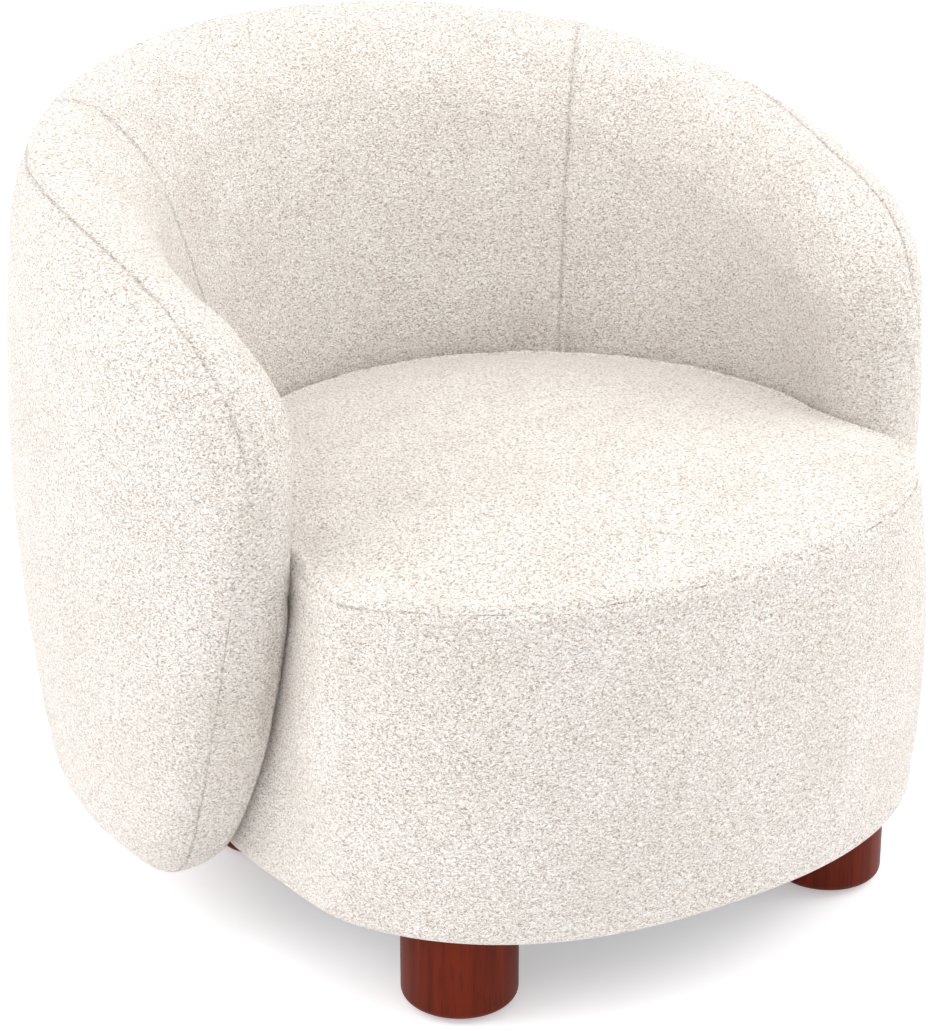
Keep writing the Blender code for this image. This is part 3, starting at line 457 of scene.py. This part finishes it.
def makeSeatCovers(material):
    side, top, sideUv = shapeDrum()
    coverPiece("seatBandCover", side, sideUv, False, ["seat_band_cover", "seat_band_foam"],
               material, True)
    coverPiece("seatTopCover", top, top[..., :2], False, ["seat_top_cover", "seat_foam", "spring_felt"],
               material, True)
    print("seat covers made")


leg = {
    "radius": 0.05, "top": legHigh[2], "bottom": legLow[2], "edge": 0.008, "topEdge": 0.001, "sides": 96,
}


def legProfile():
    # radius and height from the middle of the foot, round the lower edge, up to the middle of the top
    n = leg
    foot = np.linspace(0, np.pi / 2, 10)
    head = np.linspace(0, np.pi / 2, 4)
    radius = np.concatenate([
        np.linspace(0, n["radius"] - n["edge"], 6)[:-1],
        n["radius"] - n["edge"] * (1 - np.sin(foot)),
        n["radius"] - n["topEdge"] * (1 - np.cos(head)),
        np.linspace(n["radius"] - n["topEdge"], 0, 5)[1:],
    ])
    height = np.concatenate([
        np.full(5, n["bottom"]),
        n["bottom"] + n["edge"] * (1 - np.cos(foot)),
        n["top"] - n["topEdge"] * (1 - np.sin(head)),
        np.full(4, n["top"]),
    ])
    return radius, height


def makeLegs(material):
    # the profile turned about each leg's own axis
    radius, height = legProfile()
    turn = np.linspace(0, 2 * np.pi, leg["sides"], endpoint=False)[:, None]
    for name in ("front_left", "front_right", "rear_left", "rear_right"):
        low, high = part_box("leg_" + name)
        x, y = (low[0] + high[0]) / 2, (low[1] + high[1]) / 2
        grid = np.stack(np.broadcast_arrays(x + radius * np.cos(turn), y + radius * np.sin(turn),
                                            height + 0 * turn), -1)
        piece = meshObject("leg" + name.title().replace("_", ""), grid,
                           gridQuads(leg["sides"], len(radius), True))[0]
        piece.data.materials.append(material)
        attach(piece, "root")
        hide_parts("leg_" + name)
    print("legs made")


def newMaterial(name):
    # a node material, with its nodes, its links and its shader
    material = bpy.data.materials.new(name)
    material.use_nodes = True
    nodes = material.node_tree.nodes
    return material, nodes, material.node_tree.links, nodes["Principled BSDF"]


def addNode(nodes, kind, inputs=None, **settings):
    node = nodes.new(kind)
    for key, value in settings.items():
        setattr(node, key, value)
    for key, value in (inputs or {}).items():
        node.inputs[key].default_value = value
    return node


def ramp(nodes, stops):
    # a colour ramp through (place, colour) stops
    node = nodes.new("ShaderNodeValToRGB")
    band = node.color_ramp
    while len(band.elements) < len(stops):
        band.elements.new(0.5)
    for element, (place, colour) in zip(band.elements, stops):
        element.position = place
        element.color = (*colour, 1)
    return node


boucle = {
    "cream": (0.94, 0.885, 0.83), "pale": (0.99, 0.965, 0.935), "taupe": (0.31, 0.24, 0.19),
    # gapShade is painted shade: the darker colour put in the gaps between the loops
    "loop": 760.0, "fleck": 640.0, "gapShade": (0.74, 0.66, 0.59),
    "bump": 0.0024, "sheen": 0.25,
}


def boucleMaterial():
    # curled yarn: a cell pattern for the loops, with painted shade darkening the gaps between them, and
    # taupe flecks from stretched noise
    b = boucle
    material, nodes, links, shader = newMaterial("flecked boucle")
    where = addNode(nodes, "ShaderNodeTexCoord").outputs["Object"]
    bend = addNode(nodes, "ShaderNodeTexNoise", {"Scale": 300.0, "Detail": 2.0})
    warp = addNode(nodes, "ShaderNodeMix", {"Factor": 0.004}, data_type="VECTOR")
    links.new(where, bend.inputs["Vector"])
    links.new(where, warp.inputs[4])
    links.new(bend.outputs["Color"], warp.inputs[5])
    lean = addNode(nodes, "ShaderNodeMapping", {"Rotation": (0, 0.25, 0), "Scale": (0.68, 0.68, 1.25)})
    links.new(warp.outputs[1], lean.inputs["Vector"])
    loops = addNode(nodes, "ShaderNodeTexVoronoi", {"Scale": b["loop"], "Randomness": 1.0})
    flecks = addNode(nodes, "ShaderNodeTexNoise", {"Scale": b["fleck"], "Detail": 3.0, "Roughness": 0.6})
    broad = addNode(nodes, "ShaderNodeTexNoise", {"Scale": 14.0, "Detail": 3.0})
    for texture in (loops, flecks):
        links.new(lean.outputs["Vector"], texture.inputs["Vector"])
    links.new(where, broad.inputs["Vector"])
    # the loop colour runs from pale in their middles through cream to a painted shade in the gaps between
    # them
    base = ramp(nodes, ((0.25, b["pale"]), (0.55, b["cream"]), (0.8, b["gapShade"])))
    links.new(loops.outputs["Distance"], base.inputs["Fac"])
    speck = ramp(nodes, ((0.40, (1, 1, 1)), (0.465, (0, 0, 0))))
    links.new(flecks.outputs["Fac"], speck.inputs["Fac"])
    thin = addNode(nodes, "ShaderNodeMath", {1: 0.72}, operation="MULTIPLY")
    links.new(speck.outputs["Color"], thin.inputs[0])
    flecked = addNode(nodes, "ShaderNodeMix", {7: (*b["taupe"], 1)}, data_type="RGBA")
    links.new(thin.outputs[0], flecked.inputs[0])
    links.new(base.outputs["Color"], flecked.inputs[6])
    drift = ramp(nodes, ((0.35, (0.95, 0.94, 0.93)), (0.65, (1, 1, 1))))
    links.new(broad.outputs["Fac"], drift.inputs["Fac"])
    tone = addNode(nodes, "ShaderNodeMix", {0: 1.0}, data_type="RGBA", blend_type="MULTIPLY")
    links.new(flecked.outputs[2], tone.inputs[6])
    links.new(drift.outputs["Color"], tone.inputs[7])
    links.new(tone.outputs[2], shader.inputs["Base Color"])
    pile = addNode(nodes, "ShaderNodeMath", {1: 0.8}, operation="MULTIPLY")
    links.new(flecks.outputs["Fac"], pile.inputs[0])
    height = addNode(nodes, "ShaderNodeMath", operation="SUBTRACT")
    links.new(pile.outputs[0], height.inputs[0])
    links.new(loops.outputs["Distance"], height.inputs[1])
    bump = addNode(nodes, "ShaderNodeBump", {"Strength": 0.9, "Distance": b["bump"]})
    links.new(height.outputs[0], bump.inputs["Height"])
    links.new(bump.outputs["Normal"], shader.inputs["Normal"])
    shader.inputs["Roughness"].default_value = 0.95
    shader.inputs["Specular IOR Level"].default_value = 0.15
    shader.inputs["Sheen Weight"].default_value = b["sheen"]
    shader.inputs["Sheen Roughness"].default_value = 0.45
    shader.inputs["Sheen Tint"].default_value = (1.0, 0.97, 0.93, 1)
    return material


stain = {"red": (0.125, 0.013, 0.002), "deep": (0.065, 0.006, 0.001), "grain": 95.0}


def stainMaterial():
    # upright grain from noise drawn out along z, under a satin lacquer
    material, nodes, links, shader = newMaterial("red brown stain")
    where = addNode(nodes, "ShaderNodeTexCoord").outputs["Object"]
    stretch = addNode(nodes, "ShaderNodeMapping", {"Scale": (1, 1, 0.045)})
    links.new(where, stretch.inputs["Vector"])
    grain = addNode(nodes, "ShaderNodeTexNoise",
                    {"Scale": stain["grain"], "Detail": 6.0, "Roughness": 0.65})
    pores = addNode(nodes, "ShaderNodeTexNoise", {"Scale": stain["grain"] * 7, "Detail": 3.0})
    for texture in (grain, pores):
        links.new(stretch.outputs["Vector"], texture.inputs["Vector"])
    colour = ramp(nodes, ((0.3, stain["deep"]), (0.62, stain["red"])))
    links.new(grain.outputs["Fac"], colour.inputs["Fac"])
    fine = ramp(nodes, ((0.32, (0.6, 0.55, 0.5)), (0.45, (1, 1, 1))))
    links.new(pores.outputs["Fac"], fine.inputs["Fac"])
    both = addNode(nodes, "ShaderNodeMix", {0: 0.8}, data_type="RGBA", blend_type="MULTIPLY")
    links.new(colour.outputs["Color"], both.inputs[6])
    links.new(fine.outputs["Color"], both.inputs[7])
    links.new(both.outputs[2], shader.inputs["Base Color"])
    bump = addNode(nodes, "ShaderNodeBump", {"Strength": 0.12, "Distance": 0.0004})
    links.new(pores.outputs["Fac"], bump.inputs["Height"])
    links.new(bump.outputs["Normal"], shader.inputs["Normal"])
    shader.inputs["Roughness"].default_value = 0.45
    shader.inputs["Specular IOR Level"].default_value = 0.10
    return material


def timberMaterial(name, light, dark, scale):
    # grain from noise drawn out along x
    material, nodes, links, shader = newMaterial(name)
    where = addNode(nodes, "ShaderNodeTexCoord").outputs["Object"]
    stretch = addNode(nodes, "ShaderNodeMapping", {"Scale": (0.12, 1, 1)})
    links.new(where, stretch.inputs["Vector"])
    grain = addNode(nodes, "ShaderNodeTexNoise", {"Scale": scale, "Detail": 5.0})
    links.new(stretch.outputs["Vector"], grain.inputs["Vector"])
    colour = ramp(nodes, ((0.35, dark), (0.65, light)))
    links.new(grain.outputs["Fac"], colour.inputs["Fac"])
    links.new(colour.outputs["Color"], shader.inputs["Base Color"])
    bump = addNode(nodes, "ShaderNodeBump", {"Strength": 0.2, "Distance": 0.0005})
    links.new(grain.outputs["Fac"], bump.inputs["Height"])
    links.new(bump.outputs["Normal"], shader.inputs["Normal"])
    shader.inputs["Roughness"].default_value = 0.75
    return material


def speckledMaterial(name, light, dark, scale, roughness, metallic=0.0, bumpHeight=0.0003):
    # plain stock with a fine mottle: plated steel, nylon, and the woven dust cloth
    material, nodes, links, shader = newMaterial(name)
    where = addNode(nodes, "ShaderNodeTexCoord").outputs["Object"]
    mottle = addNode(nodes, "ShaderNodeTexNoise", {"Scale": scale, "Detail": 4.0})
    links.new(where, mottle.inputs["Vector"])
    colour = ramp(nodes, ((0.4, dark), (0.6, light)))
    links.new(mottle.outputs["Fac"], colour.inputs["Fac"])
    links.new(colour.outputs["Color"], shader.inputs["Base Color"])
    bump = addNode(nodes, "ShaderNodeBump", {"Strength": 0.3, "Distance": bumpHeight})
    links.new(mottle.outputs["Fac"], bump.inputs["Height"])
    links.new(bump.outputs["Normal"], shader.inputs["Normal"])
    shader.inputs["Roughness"].default_value = roughness
    shader.inputs["Metallic"].default_value = metallic
    return material


def finishCadNodes():
    slots = {entry["node"]: entry["material_slot"] for entry in frame["record"]["subparts"]}
    looks = {
        "timber": timberMaterial("frame timber", (0.62, 0.44, 0.26), (0.47, 0.31, 0.17), 60.0),
        "board": timberMaterial("fibreboard", (0.46, 0.34, 0.22), (0.36, 0.26, 0.17), 160.0),
        "steel": speckledMaterial("zinc steel", (0.64, 0.64, 0.62), (0.5, 0.5, 0.49), 300.0, 0.35, 1.0),
        "nylon": speckledMaterial("glide nylon", (0.05, 0.045, 0.04), (0.035, 0.03, 0.03), 500.0, 0.5),
        "dust": speckledMaterial("dust cloth", (0.03, 0.03, 0.03), (0.012, 0.012, 0.012), 900.0, 0.95),
    }
    for name, node in frame["nodes"].items():
        look = looks.get(slots[name])
        if look and node.type == "MESH":
            node.data.materials.clear()
            node.data.materials.append(look)
    print("frame pieces finished")


view = {
    "place": (-1.375, shell["planCentreY"] - 2.044, 1.356), "look": (0.499, 0.776, -0.386),
    "lens": 104.75, "sensor": 36.0,
}
light = {
    "world": 0.95,
    "softboxes": {  # place, size and power of each
        "top": ((-0.2, 0.0, 3.0), 2.2, 37.0),
        "left": ((-2.6, 0.6, 1.5), 2.0, 39.0),
        "right": ((2.5, -0.9, 1.4), 2.0, 44.0),
        "front": ((-0.6, -2.8, 2.2), 1.8, 6.0),
    },
    # floorPaintedGlow is painted light: the floor's own glow, which lifts the shadow under the chair
    "floorPaintedGlow": 0.36, "floorHalf": 30.0,
}


def makeCamera():
    data = bpy.data.cameras.new("camera")
    data.lens = view["lens"]
    data.sensor_width = view["sensor"]
    camera = bpy.data.objects.new("camera", data)
    bpy.context.scene.collection.objects.link(camera)
    camera.location = view["place"]
    camera.rotation_euler = Vector(view["look"]).to_track_quat("-Z", "Y").to_euler()
    bpy.context.scene.camera = camera


def makeSoftbox(name, place, size, power):
    data = bpy.data.lights.new(name, "AREA")
    data.size = size
    data.energy = power
    lamp = bpy.data.objects.new(name, data)
    bpy.context.scene.collection.objects.link(lamp)
    lamp.location = place
    lamp.rotation_euler = (Vector((0, 0, 0.3)) - Vector(place)).to_track_quat("-Z", "Y").to_euler()


def makeStage():
    half = light["floorHalf"]
    corners = np.array([[-half, -half, 0.0], [half, -half, 0.0], [half, half, 0.0], [-half, half, 0.0]])
    floor, *_ = meshObject("floor", corners, np.array([[0, 1, 2, 3]]))
    material, *_, shader = newMaterial("pale floor")
    shader.inputs["Base Color"].default_value = (0.86, 0.86, 0.87, 1)
    # the floor glows though it is no lamp: painted light that lifts the shadow under the chair and lights
    # the chair from below
    shader.inputs["Emission Color"].default_value = (0.98, 0.98, 1.0, 1)
    shader.inputs["Emission Strength"].default_value = light["floorPaintedGlow"]
    shader.inputs["Roughness"].default_value = 0.9
    shader.inputs["Specular IOR Level"].default_value = 0.1
    floor.data.materials.append(material)
    world = bpy.data.worlds.new("studio")
    bpy.context.scene.world = world
    world.use_nodes = True
    world.node_tree.nodes["Background"].inputs["Color"].default_value = (1, 1, 1, 1)
    world.node_tree.nodes["Background"].inputs["Strength"].default_value = light["world"]
    for name, (place, size, power) in light["softboxes"].items():
        makeSoftbox(name, place, size, power)
    bpy.context.scene.view_settings.view_transform = "Standard"
    print("stage made")


makeCamera()
clothMaterial = boucleMaterial()
makeShellCovers(clothMaterial)
makeSeatCovers(clothMaterial)
makeLegs(stainMaterial())
finishCadNodes()
makeStage()
